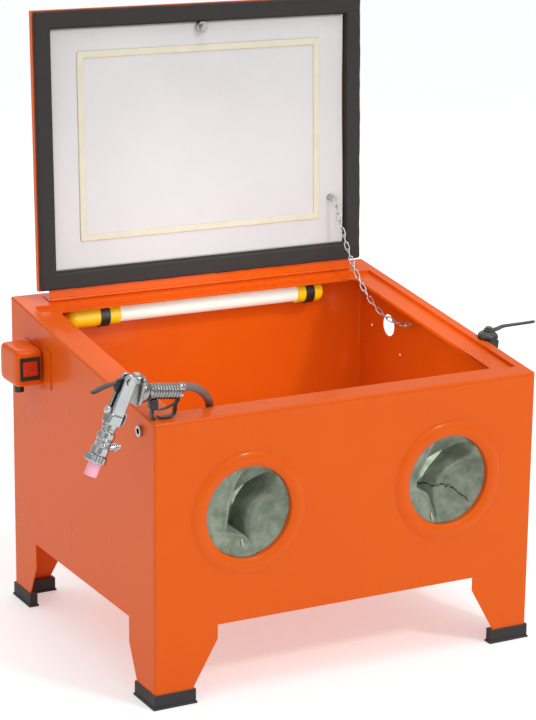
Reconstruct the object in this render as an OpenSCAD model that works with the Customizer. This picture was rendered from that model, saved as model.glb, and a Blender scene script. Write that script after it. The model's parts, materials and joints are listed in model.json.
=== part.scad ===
// Benchtop sandblast cabinet: a sheet-steel box on four corner legs, with a hinged window lid,
// two glove ports, a lamp, a mains switch and a hand-held blast gun parked on the rim.
// +X is to the right, +Y to the rear, +Z up. The floor is Z = 0, under the middle of the whole.

/* [Cabinet] */
// Width of the box
body_w = 590; // [540:5:640]
// Depth of the box
body_d = 485; // [460:5:520]
// Height of the box's lower edge above the floor
body_z = 105; // [80:5:140]
// Height of the top edge at the front
front_h = 395; // [380:5:420]
// Height of the top edge at the rear
rear_h = 460; // [440:5:480]
// Thickness of the sheet steel
sheet = 1.5; // [1:0.5:2]

/* [Rim] */
// Width of the top rim at the sides, from the outside to the opening
rim_w = 48; // [40:60]
// Width of the raised outer strip at the sides
strip_side = 16; // [12:24]
// Width of the raised outer strip at the front
strip_front = 27; // [20:30]
// Width of the raised outer strip at the rear, which carries the hinge
strip_rear = 51; // [45:55]
// Depth of the step from the strip down to the lid's seat
rim_step = 5; // [3:8]

/* [Legs] */
// Width of a leg's front face at the top
leg_w = 93; // [70:100]
// Depth of a leg's side face at the top
leg_d = 81; // [60:90]
// Width of a leg's faces at the bottom
leg_foot = 57; // [40:65]
// Height of a rubber foot
foot_h = 20; // [15:30]

/* [Glove ports] */
// Inner radius of a port
port_r = 64; // [55:75]
// Distance between the two ports' centres
port_gap = 312; // [280:330]
// Height of the ports' centres
port_z = 256; // [240:270]

/* [Lid] */
// Width of the lid
lid_w = 532; // [520:550]
// Length of the lid from its hinge edge to its front edge
lid_l = 402; // [395:405]
// Depth of the lid's folded edge
lid_t = 9; // [8:12]
// Thickness of the foam gasket
gasket_t = 8; // [5:10]
// Width of the foam gasket
gasket_w = 25; // [20:30]
// Angle past upright at which the open lid leans back
lid_lean = 2; // [0:4]
// Width of the window's border
window_w = 396; // [360:420]
// Length of the window's border
window_l = 275; // [250:290]

/* [Lamp] */
// Radius of the lamp's diffuser
lamp_r = 13; // [10:15]
// Length of the lamp over its end caps
lamp_l = 423; // [380:440]

/* [Blast gun] */
// Length of the gun from its lever pin to the nozzle's tip
gun_l = 131; // [120:140]
// Radius of the gun's barrel
barrel_r = 11.5; // [10:13]
// Angle between the gun's barrel and the vertical
barrel_tilt = 24.5; // [20:30]
// Radius of the ribbed handle
handle_r = 11; // [9:12]
// Diameter of the air hose
hose_d = 11; // [9:12]

/* [Hidden] */
$fn = 48;
cab_y = -3.5;
front_y = cab_y - body_d / 2;
rear_y = cab_y + body_d / 2;
slope = atan((rear_h - front_h) / body_d);
slope_l = body_d / cos(slope);
corner_r = 4;
half_w = body_w / 2;
skirt = 4;
edge_r = 3;
seat_w = body_w - 2 * strip_side;
seat_front = strip_front;
seat_rear = slope_l - strip_rear;
mouth_w = body_w - 2 * rim_w;
mouth_front = seat_front + 15;
mouth_rear = seat_rear - 11;
lip_h = 3;

hinge_gap = 14;
hinge_u = seat_rear + 12;
knuckle_r = 2.5;
pin_r = 1.2;
seat_gap = 0.3;
hinge_l = 500;
hinge_parts = 10;
pin_n = knuckle_r + 0.3;
pin_in_lid = rim_step + pin_n - seat_gap;
lid_depth = lid_t + gasket_t;
upright = 90 - lid_lean;
pin_y = front_y + hinge_u * cos(slope) - pin_n * sin(slope);
pin_z = front_h + hinge_u * sin(slope) + pin_n * cos(slope);
lid_y = pin_y + hinge_gap * cos(upright) - pin_in_lid * sin(upright);
lid_z = pin_z + hinge_gap * sin(upright) + pin_in_lid * cos(upright);
window_low = 204 - window_l / 2;
glass_t = 4;
film_z = -lid_depth + sheet + glass_t;
film_t = 0.6;
border_t = 2;
knob_v = 367;
chain_v = 97;
chain_x = 218;

port_x = port_gap / 2;
port_hole_r = port_r + 8;
ring_r = 86;
bead_h = 4.5;
collar_l = 22;
glove_l = 118;
glove_end = 46;

grate_z = 135;
rod_r = 2;
leg_sheet = 2;

lamp_x = -8;
lamp_y = rear_y - 27;
lamp_z = 424;
cap_r = 15.5;
cap_l = 82;
cap_right_l = 43;

switch_y = cab_y + 117;
switch_z = 384;
switch_out = 43;
switch_l = 67;
switch_h = 55;
rocker_x = -half_w - switch_out + 20;
rocker_y = switch_y + 7;
rocker_tilt = 8;

duct_y = cab_y + 154;
duct_z = 372;
duct_r = 17;
duct_pcd = 104;

latch_x = half_w + 6;
latch_y = cab_y - 110;
latch_u = (latch_y - front_y) / cos(slope);
hub_r = 15;
latch_reach = 80;

gun_x = -324.6;
gun_y = cab_y - 226;
gun_z = 453.4;
handle_x = 29;
handle_z = -17;
handle_tilt = 97;
handle_l = 44;
tail_up = -5.5;

air_y = cab_y - 201;
air_z = 376;

wire_r = 1;
link_pitch = 11.6;
link_w = 8;

// ---- shared shapes ----

// Rectangle with round corners, centred on X, starting at Y = 0
module round_plate(w, l, r) {
    translate([-w / 2 + r, 0]) square([w - 2 * r, l]);
    translate([-w / 2, r]) square([w, l - 2 * r]);
    for (x = [-w / 2 + r, w / 2 - r], y = [r, l - r]) translate([x, y]) circle(r);
}

// Frame of the sloping top: X right, Y up the slope from the front edge, Z out of the top
module on_slope() {
    translate([0, front_y, front_h]) rotate([slope, 0, 0]) children();
}

// Frame of the open lid: X right, Y up the lid from its hinge edge, Z out of its inner face
module on_lid() {
    translate([0, lid_y, lid_z]) rotate([upright, 0, 0]) children();
}

// Frame of the gun: the origin is the middle of the lever's pin
module on_gun() {
    translate([gun_x, gun_y, gun_z]) children();
}

// Frame of the gun's barrel: Z down the barrel from the lever's pin, X to the lever's side
module on_barrel() {
    on_gun() rotate([0, 180 + barrel_tilt, 0]) children();
}

// Frame of the gun's handle: Z along the handle towards the hose
module on_handle() {
    on_gun() translate([handle_x, 0, handle_z]) rotate([0, handle_tilt, 0]) children();
}

// Everything above the underside of the rim
module above_rim() {
    on_slope() translate([-body_w, -body_d, -skirt]) cube([2 * body_w, 3 * body_d, body_d]);
}

// The four walls as one sleeve, between two Y values
module wall_sleeve(y0, y1) {
    difference() {
        translate([0, 0, body_z]) linear_extrude(rear_h - body_z) intersection() {
            translate([0, front_y]) difference() {
                round_plate(body_w, body_d, corner_r);
                translate([0, sheet]) round_plate(body_w - 2 * sheet, body_d - 2 * sheet, corner_r - sheet);
            }
            translate([-body_w, y0]) square([2 * body_w, y1 - y0]);
        }
        above_rim();
    }
}

// A hole straight through a side wall, along X
module side_hole(y, z, r) {
    translate([half_w - 10, y, z]) rotate([0, 90, 0]) cylinder(r = r, h = 20);
}

// ---- walls ----

module front_panel() {
    color("darkorange") difference() {
        wall_sleeve(front_y, front_y + corner_r + 4);
        for (s = [-1, 1]) on_port(s) translate([0, 0, -1]) cylinder(r = port_hole_r, h = 10);
    }
}

module rear_panel() {
    color("darkorange") wall_sleeve(rear_y - corner_r - 4, rear_y);
}

module left_panel() {
    color("orangered") difference() {
        intersection() {
            wall_sleeve(front_y + corner_r + 4, rear_y - corner_r - 4);
            translate([-body_w, front_y, 0]) cube([body_w, body_d, 2 * rear_h]);
        }
        translate([-half_w - 5, air_y, air_z]) rotate([0, 90, 0]) cylinder(r = 6.55, h = 20);
    }
}

module right_panel() {
    color("orangered") difference() {
        intersection() {
            wall_sleeve(front_y + corner_r + 4, rear_y - corner_r - 4);
            translate([0, front_y, 0]) cube([body_w, body_d, 2 * rear_h]);
        }
        side_hole(duct_y, duct_z, duct_r);
        for (a = [-12, 108, 228])
            side_hole(duct_y + duct_pcd / 2 * cos(a), duct_z + duct_pcd / 2 * sin(a), 2.2);
    }
}

// ---- rim: a raised outer strip, a step, the lid's seat and a turned-down lip ----

module flat_ring(w, y0, y1, inner_w, inner_y0, inner_y1, z0, z1) {
    translate([0, 0, z0]) linear_extrude(z1 - z0) difference() {
        translate([-w / 2, y0]) square([w, y1 - y0]);
        translate([-inner_w / 2, inner_y0]) square([inner_w, inner_y1 - inner_y0]);
    }
}

module edge_cutter(l) {
    rotate([90, 0, 0]) linear_extrude(l, center = true) difference() {
        translate([-1, -edge_r]) square([edge_r + 1, edge_r + 1]);
        translate([edge_r, -edge_r]) circle(edge_r);
    }
}

module rim_whole() {
    on_slope() {
        difference() {
            translate([0, 0, -skirt]) linear_extrude(skirt) round_plate(body_w, slope_l, corner_r);
            translate([0, sheet, -skirt - 1]) linear_extrude(skirt + 1 - sheet)
                round_plate(body_w - 2 * sheet, slope_l - 2 * sheet, corner_r - sheet);
            translate([-seat_w / 2, seat_front, -skirt]) cube([seat_w, seat_rear - seat_front, 2 * skirt]);
            translate([-half_w, slope_l / 2, 0]) edge_cutter(2 * slope_l);
            translate([half_w, slope_l / 2, 0]) mirror([1, 0, 0]) edge_cutter(2 * slope_l);
            rotate(90) mirror([0, 1, 0]) edge_cutter(2 * body_w);
            translate([0, slope_l, 0]) rotate(-90) edge_cutter(2 * body_w);
        }
        flat_ring(seat_w + 2 * sheet, seat_front - sheet, seat_rear + sheet,
            seat_w, seat_front, seat_rear, -rim_step - sheet, 0);
        flat_ring(seat_w, seat_front, seat_rear, mouth_w, mouth_front, mouth_rear,
            -rim_step - sheet, -rim_step);
        flat_ring(mouth_w + 2 * sheet, mouth_front - sheet, mouth_rear + sheet,
            mouth_w, mouth_front, mouth_rear, -rim_step - sheet - lip_h, -rim_step);
    }
}

module mouth_web(side) {
    on_slope() translate([side * mouth_w / 2, mouth_rear, -rim_step - sheet]) mirror([side > 0 ? 1 : 0, 0, 0])
        linear_extrude(sheet) difference() {
            translate([0, -20]) square(20);
            translate([20, -20]) circle(20);
        }
}

// The part of the rim inside a plan outline given in the top's own frame
module rim_part(outline) {
    intersection() {
        rim_whole();
        on_slope() translate([0, 0, -30]) linear_extrude(40) polygon(outline);
    }
}

module rim_front() {
    color("orange") rim_part([[-half_w, 0], [half_w, 0], [half_w, mouth_front], [-half_w, mouth_front]]);
}

module rim_rear() {
    color("orange") {
        rim_part([[-half_w, mouth_rear], [half_w, mouth_rear], [half_w, slope_l], [-half_w, slope_l]]);
        for (s = [-1, 1]) mouth_web(s);
    }
}

module rim_left() {
    color("orange") rim_part([[-half_w, mouth_front], [-mouth_w / 2, mouth_front],
        [-mouth_w / 2, mouth_rear], [-half_w, mouth_rear]]);
}

module rim_right() {
    color("orange") rim_part([[mouth_w / 2, mouth_front], [half_w, mouth_front],
        [half_w, mouth_rear], [mouth_w / 2, mouth_rear]]);
}

// ---- floor and grate ----

module floor_pan() {
    inner_w = body_w - 2 * sheet;
    inner_d = body_d - 2 * sheet;
    color("chocolate") difference() {
        translate([0, front_y + sheet, body_z]) linear_extrude(20)
            round_plate(inner_w, inner_d, corner_r - sheet);
        translate([0, front_y + 2 * sheet, body_z + sheet]) linear_extrude(20)
            round_plate(inner_w - 2 * sheet, inner_d - 2 * sheet, 1);
    }
}

module floor_screws() {
    color("silver") for (x = [-118, -6, 106], y = [front_y + 12, rear_y - 12]) translate([x, y, 0]) {
        translate([0, 0, body_z - 4]) cylinder(r = 2.5, h = 4);
        translate([0, 0, body_z - 3.2]) cylinder(r = 4.6, h = 3.2, $fn = 6);
        translate([0, 0, body_z + sheet]) cylinder(r = 4.5, h = 2.5);
    }
}

module grate_supports() {
    l = body_w - 4 * sheet - 0.4;
    color("chocolate") for (y = [front_y + 40, rear_y - 60]) translate([-l / 2, y, 0]) {
        translate([0, 0, grate_z - 22]) cube([l, sheet, 20]);
        translate([0, 0, grate_z - rod_r - sheet]) cube([l, 20, sheet]);
    }
}

module work_grate() {
    span = body_w - 2 * sheet - 12;
    depth = body_d - 2 * sheet - 12;
    bars = 18;
    color("dimgray") {
        for (i = [0 : bars]) translate([-span / 2 + i * span / bars, cab_y - depth / 2, grate_z])
            rotate([-90, 0, 0]) cylinder(r = rod_r, h = depth, $fn = 16);
        for (y = [-depth / 2 + 4, 0, depth / 2 - 4]) translate([-span / 2, cab_y + y, grate_z])
            rotate([0, 90, 0]) cylinder(r = rod_r, h = span, $fn = 16);
    }
}

// ---- legs and feet; the shapes are drawn for the front left corner, at X = 0 and Y = 0 ----

// Puts a corner's shape at one of the four corners: sx and sy are -1 or 1
module at_corner(sx, sy) {
    translate([sx * half_w, sy < 0 ? front_y : rear_y, 0])
        mirror([sx > 0 ? 1 : 0, 0, 0]) mirror([0, sy > 0 ? 1 : 0, 0]) children();
}

module leg_outline(w, knee) {
    polygon([[0, 3], [leg_foot, 3], [leg_foot, foot_h + 2], [w, knee], [w, body_z], [0, body_z]]);
}

module leg() {
    color("darkorange") {
        intersection() {
            linear_extrude(body_z) difference() {
                round_plate_corner(200, corner_r);
                translate([leg_sheet, leg_sheet]) round_plate_corner(200, corner_r - leg_sheet);
            }
            union() {
                translate([0, leg_sheet + 2, 0]) rotate([90, 0, 0]) linear_extrude(leg_sheet + 3)
                    leg_outline(leg_w, 85);
                rotate([90, 0, 90]) translate([0, 0, -1]) linear_extrude(leg_sheet + 3)
                    leg_outline(leg_d, 69);
            }
        }
        translate([leg_sheet, leg_sheet, body_z - leg_sheet]) difference() {
            cube([70, 60, leg_sheet]);
            translate([20, 40, -1]) cylinder(r = 4.05, h = 5);
            translate([50, 20, -1]) cylinder(r = 4.05, h = 5);
        }
    }
}

module round_plate_corner(l, r) {
    translate([r, 0]) square([l, l]);
    translate([0, r]) square([l, l]);
    translate([r, r]) circle(r);
}

module leg_bolt() {
    color("silver") for (p = [[20, 40], [50, 20]]) translate([leg_sheet + p[0], leg_sheet + p[1], 0]) {
        translate([0, 0, body_z - leg_sheet - 5]) cylinder(r = 6.5, h = 5, $fn = 6);
        translate([0, 0, body_z - leg_sheet - 8]) cylinder(r = 4, h = leg_sheet + 8);
        translate([0, 0, body_z + sheet]) cylinder(r = 7, h = 4, $fn = 6);
    }
}

module foot() {
    wall = 12;
    out = 1.6;
    l = leg_foot + 3;
    color("black") difference() {
        union() {
            translate([-out, -out, 0]) cube([l + out, wall, foot_h]);
            translate([-out, -out, 0]) cube([wall, l + out, foot_h]);
            translate([-out - 1.5, -out - 1.5, 0]) cube([l + out + 3, wall + 3, 2.5]);
            translate([-out - 1.5, -out - 1.5, 0]) cube([wall + 3, l + out + 3, 2.5]);
        }
        translate([-0.2, -0.2, 2.9]) cube([leg_foot + 0.4, leg_sheet + 0.4, foot_h]);
        translate([-0.2, -0.2, 2.9]) cube([leg_sheet + 0.4, leg_foot + 1.4, foot_h]);
        translate([0, 0, 2.9]) cube([leg_sheet + 1, leg_sheet + 1, foot_h]);
    }
}

module leg_front_left() { at_corner(-1, -1) leg(); }
module leg_front_right() { at_corner(1, -1) leg(); }
module leg_rear_left() { at_corner(-1, 1) leg(); }
module leg_rear_right() { at_corner(1, 1) leg(); }
module foot_front_left() { at_corner(-1, -1) foot(); }
module foot_front_right() { at_corner(1, -1) foot(); }
module foot_rear_left() { at_corner(-1, 1) foot(); }
module foot_rear_right() { at_corner(1, 1) foot(); }
module leg_bolts() { for (sx = [-1, 1], sy = [-1, 1]) at_corner(sx, sy) leg_bolt(); }

// ---- glove ports ----

// Frame of a port: Z into the cabinet, from the outside of the front panel
module on_port(side) {
    translate([side * port_x, front_y, port_z]) rotate([-90, 0, 0]) children();
}

// Flared ring with a collar behind it, on which the glove is clamped
module port_ring(side) {
    color("darkorange") on_port(side) rotate_extrude($fn = 96) {
        polygon([[port_r, -1], [port_r + 5, -bead_h + 1], [port_r + 10, -bead_h], [port_r + 14, -bead_h + 1],
            [ring_r, -0.6], [ring_r, 0], [port_hole_r - 0.1, 0], [port_hole_r - 0.1, sheet],
            [port_r + 2, sheet], [port_r + 2, collar_l], [port_r, collar_l]]);
    }
}

module glove_clamp(side) {
    color("silver") on_port(side) {
        translate([0, 0, 10]) rotate_extrude($fn = 96) translate([port_r + 4.3, 0]) square([1.2, 9]);
        translate([0, -port_r - 8.5, 10.5]) rotate([0, 90, 0]) cylinder(r = 3, h = 14, center = true);
    }
}

// Leather gauntlet: a sleeve over the collar that tapers to a closed, folded hand end
module glove(side) {
    lip = port_r + 2.1;
    color("darkseagreen") on_port(side) rotate_extrude($fn = 96) {
        polygon([[lip, 6], [lip + 2.1, 6], [lip + 2.1, 26], [glove_end + 8, glove_l - 20],
            [glove_end, glove_l], [0, glove_l], [0, glove_l - 2.5], [glove_end - 2, glove_l - 2.5],
            [glove_end + 5, glove_l - 22], [lip, 25]]);
    }
}

module port_ring_left() { port_ring(-1); }
module port_ring_right() { port_ring(1); }
module glove_left() { glove(-1); }
module glove_right() { glove(1); }
module glove_clamps() { for (s = [-1, 1]) glove_clamp(s); }

// ---- lamp under the rear rim ----

module on_lamp() {
    translate([lamp_x - lamp_l / 2, lamp_y, lamp_z]) rotate([0, 90, 0]) children();
}

module lamp_diffuser() {
    color("white") on_lamp() translate([0, 0, cap_l]) difference() {
        cylinder(r = lamp_r, h = lamp_l - cap_l - cap_right_l);
        translate([0, 0, -1]) cylinder(r = lamp_r - 1.5, h = lamp_l);
    }
}

module lamp_tube() {
    color("ivory") on_lamp() translate([0, 0, cap_l + 1])
        cylinder(r = 8, h = lamp_l - cap_l - cap_right_l - 2);
}

module lamp_cap_left() {
    color("gold") on_lamp() {
        translate([0, 0, 12]) cylinder(r = cap_r, h = cap_l - 12);
        translate([0, 0, 12]) intersection() {
            sphere(r = cap_r);
            translate([0, 0, -12]) cube([40, 40, 24], center = true);
        }
    }
}

module lamp_cap_right() {
    color("gold") on_lamp() translate([0, 0, lamp_l - cap_right_l]) {
        cylinder(r = cap_r, h = cap_right_l - 4);
        cylinder(r = cap_r - 3, h = cap_right_l);
    }
}

module lamp_clips() {
    color("black") on_lamp() for (z = [50, lamp_l - 30]) translate([0, 0, z]) {
        difference() {
            cylinder(r = cap_r + 2, h = 14);
            translate([0, 0, -1]) cylinder(r = cap_r + 0.05, h = 16);
        }
        translate([-5, cap_r + 1.5, 0]) cube([10, 27 - sheet - cap_r - 1.5, 14]);
    }
}

// ---- switch on the left wall ----

module on_switch() {
    translate([-half_w, switch_y, switch_z]) children();
}

module switch_box() {
    r = 9;
    color("orangered") on_switch() difference() {
        hull() {
            for (y = [r, switch_l - r], z = [-switch_h / 2 + r, switch_h / 2 - r])
                translate([-switch_out + r, y, z]) sphere(r, $fn = 24);
            for (y = [r, switch_l - r], z = [-switch_h / 2 + r, switch_h / 2 - r])
                translate([-2, y, z]) rotate([0, -90, 0]) cylinder(r = r, h = 10, $fn = 32);
        }
        translate([-switch_out + 7, -1, -13]) cube([26, 30, 26]);
    }
}

module switch_plate() {
    color("orangered") on_switch() difference() {
        translate([-2, -22, -switch_h / 2 - 1]) cube([2, switch_l + 26, switch_h]);
        translate([-3, -14, 0]) rotate([0, 90, 0]) cylinder(r = 1.6, h = 4);
    }
    color("silver") on_switch() translate([-3.4, -14, 0]) rotate([0, 90, 0]) cylinder(r = 3, h = 1.4);
}

module switch_bezel() {
    color("black") on_switch() difference() {
        union() {
            translate([-switch_out + 5, -2, -16.5]) cube([30, 2, 33]);
            translate([-switch_out + 7.2, 0, -12.8]) cube([25.6, 24, 25.6]);
        }
        translate([-switch_out + 8.5, -3, -11.5]) cube([23, 23, 23]);
        translate([-switch_out + 7, 7, 0]) rotate([0, 90, 0]) cylinder(r = 1.55, h = 26);
    }
}

// Rocker with a hollowed face, shown with its upper half pressed in; a pin through it holds it
module power_rocker() {
    color("red") translate([rocker_x, rocker_y, switch_z]) rotate([-rocker_tilt, 0, 0]) {
        rotate([0, -90, 0]) linear_extrude(22, center = true) polygon([[-9.6, -9.4], [0, -7.6], [9.6, -9.4],
            [9.6, -6.5], [5, 4], [-5, 4], [-9.6, -6.5]]);
        rotate([0, 90, 0]) cylinder(r = 1.5, h = 25, center = true);
    }
}

module cable_gland() {
    color("black") on_switch() translate([-20, switch_l - 18, -switch_h / 2]) {
        translate([0, 0, -5]) cylinder(r = 9, h = 5, $fn = 6);
        translate([0, 0, -18]) difference() {
            cylinder(r = 7, h = 14);
            translate([0, 0, -1]) cylinder(r = 3.6, h = 13);
        }
    }
}

// ---- hinge ----

// Every second barrel section of the hinge, starting with section first
module knuckles(first) {
    step = hinge_l / hinge_parts;
    for (i = [first : 2 : hinge_parts - 1]) translate([-hinge_l / 2 + i * step + 0.3, pin_y, pin_z])
        rotate([0, 90, 0]) difference() {
            cylinder(r = knuckle_r, h = step - 0.6);
            translate([0, 0, -1]) cylinder(r = pin_r + 0.05, h = step + 2);
        }
}

module pin_clearance(first) {
    step = hinge_l / hinge_parts;
    translate([-hinge_l, pin_y, pin_z]) rotate([0, 90, 0]) cylinder(r = pin_r + 0.05, h = 2 * hinge_l);
    for (i = [first : 2 : hinge_parts - 1]) translate([-hinge_l / 2 + i * step - 0.1, pin_y, pin_z])
        rotate([0, 90, 0]) cylinder(r = knuckle_r + 0.4, h = step + 0.2);
}

module hinge_leaf_body() {
    color("darkorange") {
        knuckles(0);
        difference() {
            on_slope() translate([-hinge_l / 2, hinge_u, 0]) cube([hinge_l, 26, 1.2]);
            pin_clearance(1);
        }
    }
}

module hinge_leaf_lid() {
    color("darkorange") {
        knuckles(1);
        difference() {
            on_lid() {
                translate([-hinge_l / 2, 1.8 - hinge_gap, -pin_in_lid - 0.6])
                    cube([hinge_l, hinge_gap - 1.8, 1.2]);
                translate([-hinge_l / 2, -1.2, -lid_depth])
                    cube([hinge_l, 1.2, lid_depth - pin_in_lid + 0.6]);
            }
            pin_clearance(0);
        }
    }
}

module hinge_pin() {
    color("silver") translate([-hinge_l / 2 - 1, pin_y, pin_z]) rotate([0, 90, 0])
        cylinder(r = pin_r, h = hinge_l + 2);
}

// ---- latch: a lever that swings over the lid ----

module latch_bracket() {
    color("black") on_slope() {
        translate([half_w + 0.3, latch_u - 14, -28]) cube([16, 28, 28]);
        translate([latch_x, latch_u, -1]) cylinder(r = 3, h = 16);
        translate([latch_x, latch_u, 14.9]) cylinder(r = 5, h = 1.6);
    }
}

// Domed hub with a dog-leg lever, which points outwards while the lid is open
module latch_lever() {
    color("black") on_slope() difference() {
        union() {
            translate([latch_x, latch_u, 0.3]) rotate_extrude()
                polygon([[0, 0], [hub_r, 0], [hub_r, 3.5], [13.5, 7], [9.5, 9.6], [0, 11]]);
            translate([latch_x, latch_u, 9]) cylinder(r = 7, h = 5.6);
            translate([latch_x, latch_u - 3.5, 0]) rotate([90, 0, 0]) mirror([0, 0, 1]) linear_extrude(7)
                polygon([[3, 9.5], [9, 9.2], [25, 13.6], [latch_reach - 4, 14], [latch_reach, 15.5],
                    [latch_reach, 18.5], [24, 17.6], [6, 13.5], [3, 13.5]]);
        }
        translate([latch_x, latch_u, -1]) cylinder(r = 3.05, h = 25);
    }
}

// ---- air connection ----

// Bulkhead connector: a threaded mouth outside, a nut and a downward elbow inside
module air_fitting() {
    color("silver") translate([-half_w, air_y, air_z]) rotate([0, 90, 0]) {
        difference() {
            union() {
                translate([0, 0, -4.5]) cylinder(r = 7.4, h = 4.5);
                cylinder(r = 6.5, h = 11);
                translate([0, 0, sheet]) cylinder(r = 9, h = 4, $fn = 6);
            }
            translate([0, 0, -5]) cylinder(r = 4.2, h = 9);
        }
        translate([0, 0, 11]) rotate([0, 90, 0]) {
            translate([0, 0, -6]) cylinder(r = 6.6, h = 17);
            translate([0, 0, 11]) cylinder(r = 8, h = 8, $fn = 6);
        }
    }
}

// Points that the air hose follows, from the blast gun's end to the fitting in the left wall.
// X is from the cabinet's middle, Y from its middle and Z from the floor.
hose_route = [
    [-245.1, -226, 435.8], [-235.2, -226, 434.6], [-225, -224, 430.3], [-214, -219, 422.5],
    [-204, -211.5, 412.5], [-196, -200, 404], [-188.5, -188.5, 391.5], [-183.5, -177, 375],
    [-181, -164, 357.5], [-180, -148, 341],
    [-180, -129, 325], [-181, -107, 306],
    [-183, -86, 283], [-186, -68, 257], [-189, -54, 229], [-191, -42, 200], [-193, -28, 173],
    [-194, -8, 152], [-192, 18, 144], [-187, 46, 143], [-183, 74, 143], [-184, 102, 143],
    [-194, 128, 143], [-215, 145, 143], [-241, 147, 143], [-264, 133, 143], [-276, 110, 143],
    [-279, 84, 143], [-279, 54, 143], [-279, 24, 143], [-279, -6, 143], [-279, -36, 143],
    [-279, -66, 143], [-279, -96, 143], [-279, -126, 143], [-280, -150, 144], [-281, -170, 151],
    [-282, -185, 163], [-283, -195, 180], [-284, -200, 202], [-284, -201, 232], [-284, -201, 262],
    [-284, -201, 292], [-284, -201, 322], [-284, -201, 356.8]
];

// Unit direction of a path at point i, and a ring of points square to it
function unit(v) = v / norm(v);
function along(path, i) = unit(path[min(i + 1, len(path) - 1)] - path[max(i - 1, 0)]);
function ring(path, i, r, sides) =
    let (t = along(path, i), side = unit(cross(t, [0.31, -0.2, 0.93])), up = cross(side, t))
    [for (k = [0 : sides - 1]) let (a = 360 * k / sides)
        path[i] + [0, cab_y, 0] + r * (side * cos(a) + up * sin(a))];

module tube(path, r, sides) {
    rings = [for (i = [0 : len(path) - 1]) each ring(path, i, r, sides)];
    last = (len(path) - 1) * sides;
    skin = [for (i = [0 : len(path) - 2], k = [0 : sides - 1])
        let (a = i * sides + k, b = i * sides + (k + 1) % sides)
        each [[a, b, b + sides], [a, b + sides, a + sides]]];
    ends = [[for (k = [sides - 1 : -1 : 0]) k], [for (k = [0 : sides - 1]) last + k]];
    polyhedron(rings, concat(skin, ends), convexity = 10);
}

module air_hose() {
    color("rosybrown") tube(hose_route, hose_d / 2, 10);
}

// ---- stay chain: links along a hanging curve from the lid to the right wall ----

chain_top = [chain_x, lid_y + chain_v * cos(upright) - 5, lid_z + chain_v * sin(upright)];
chain_low = [half_w - 13, cab_y + 55, 399];
chain_c = 65;
chain_mid = 130;
chain_flat = norm([chain_low[0] - chain_top[0], chain_low[1] - chain_top[1]]);
function cosh(x) = (exp(x) + exp(-x)) / 2;
function drop(s) = chain_c * cosh((s - chain_mid) / chain_c);
function chain_at(s) = [
    chain_top[0] + (chain_low[0] - chain_top[0]) * s / chain_flat,
    chain_top[1] + (chain_low[1] - chain_top[1]) * s / chain_flat,
    chain_top[2] + drop(s) - drop(0)
        + (chain_low[2] - chain_top[2] - drop(chain_flat) + drop(0)) * s / chain_flat];
// Value of s one link pitch further down the curve
function next(s) = let (step = link_pitch / norm(chain_at(s + 1) - chain_at(s))) s + step;
function stops(s, n) = n == 0 ? [] : concat([s], stops(next(s), n - 1));
chain_stops = stops(1.4, 22);

// One oval link, its long way along X
module link() {
    half = (link_pitch + 2 * wire_r - link_w + 2 * wire_r) / 2;
    bend = link_w / 2 - wire_r;
    for (s = [-1, 1]) {
        translate([-half, s * bend, 0]) rotate([0, 90, 0]) cylinder(r = wire_r, h = 2 * half, $fn = 14);
        translate([s * half, 0, 0]) rotate(s * 90 - 90 - 90) rotate_extrude(angle = 180, $fn = 24)
            translate([bend, 0]) circle(wire_r, $fn = 14);
    }
}

module stay_chain() {
    color("silver") for (i = [0 : len(chain_stops) - 1]) {
        p = chain_at(chain_stops[i]);
        q = chain_at(chain_stops[i] + 0.5);
        d = unit(q - p);
        translate(p) rotate([0, -asin(d[2]), atan2(d[1], d[0])]) rotate([i % 2 * 90 + 45, 0, 0]) link();
    }
}

module chain_anchor() {
    color("silver") translate([half_w - sheet, chain_low[1], chain_low[2] - 1]) rotate([0, -90, 0]) {
        translate([0, 0, -sheet - 2.2]) cylinder(r = 5, h = 2.2);
        cylinder(r = 4.5, h = 3);
        cylinder(r = 2, h = 8);
    }
}

// ---- lid, drawn lying open with its inner face up ----

module lid_frame() {
    color("darkorange") on_lid() {
        flat_ring(lid_w, 0, lid_l, window_w - 20, window_low + 10, window_low + window_l - 10,
            -lid_depth, -lid_depth + sheet);
        flat_ring(lid_w, 0, lid_l, lid_w - 2 * sheet, sheet, lid_l - sheet, -lid_depth, -gasket_t);
        flat_ring(lid_w, 0, lid_l, lid_w - 2 * gasket_w, gasket_w, lid_l - gasket_w,
            -gasket_t - sheet, -gasket_t);
    }
}

module lid_gasket() {
    color("black") on_lid() flat_ring(lid_w - 2, 1, lid_l - 1,
        lid_w - 2 * gasket_w, gasket_w, lid_l - gasket_w, -gasket_t, 0);
}

module window_glass() {
    color("lightcyan", 0.4) on_lid() translate([-window_w / 2 - 6, window_low - 6, -lid_depth + sheet])
        cube([window_w + 12, window_l + 12, glass_t]);
}

module window_border() {
    color("wheat") on_lid() flat_ring(window_w, window_low, window_low + window_l,
        window_w - 20, window_low + 10, window_low + window_l - 10,
        film_z + film_t, film_z + film_t + border_t);
}

module lid_film() {
    inset = gasket_w + 2;
    color("white") on_lid() translate([0, 0, film_z]) difference() {
        translate([-lid_w / 2 + inset, inset, 0]) cube([lid_w - 2 * inset, lid_l - 2 * inset, film_t]);
        translate([0, knob_v, -1]) cylinder(r = 5, h = 3);
        translate([chain_x, chain_v, -1]) cylinder(r = 4, h = 3);
    }
}

module lid_knob() {
    color("black") on_lid() translate([0, knob_v, -lid_depth - 27]) rotate_extrude()
        polygon([[0, 0], [11, 0], [15, 3], [15, 11], [9, 16], [7, 27], [0, 27]]);
}

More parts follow.
